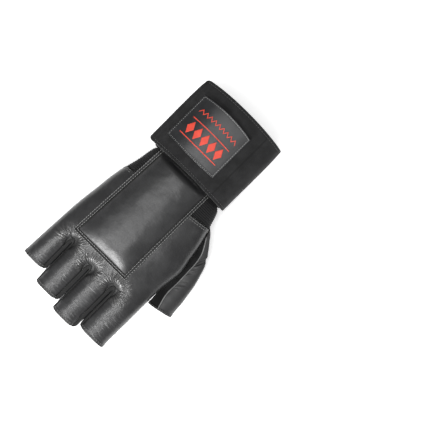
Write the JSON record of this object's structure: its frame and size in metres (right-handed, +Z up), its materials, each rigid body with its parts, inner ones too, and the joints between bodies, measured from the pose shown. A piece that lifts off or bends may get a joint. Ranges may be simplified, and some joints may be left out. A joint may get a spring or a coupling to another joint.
{
  "type": "skating glove",
  "caption": "Right-hand fingerless skating glove of black leather with padded back and palm, suede thumb and a wide elastic wrist strap, lying palm down.",
  "frame": {"origin": "on the surface the glove lies on, under the middle of its footprint", "axes": "+Y to the fingertips, +X to the little-finger side, +Z up through the back of the hand"},
  "size_m": [0.1326, 0.2432, 0.047],
  "materials": {
    "leather": "smooth black cowhide, soft semi-gloss, fine grain, creased at the knuckles",
    "suede": "matte black suede with a short nap",
    "rib": "black ribbed stretch knit, matte",
    "elastic": "charcoal brushed elastic and neoprene, matte",
    "patch": "dark grey satin label, printed in red with a row of lozenges and a zigzag",
    "cord": "black braided cord, matte"
  },
  "bodies": {
    "root": {"back_panel": "leather", "palm_panel": "leather", "finger_gusset_index_middle": "leather", "finger_gusset_middle_ring": "leather", "finger_gusset_ring_little": "leather", "wrist_rib": "rib", "palm_fabric": "rib", "thumb_leather": "leather", "thumb_suede": "suede", "back_pad": "leather", "back_pad_border": "leather", "palm_pad": "leather", "palm_pad_border": "leather", "wrist_cuff": "elastic", "cuff_binding": "elastic", "wrist_strap": "elastic", "strap_patch": "patch", "pull_loop": "cord"}
  },
  "joints": []
}
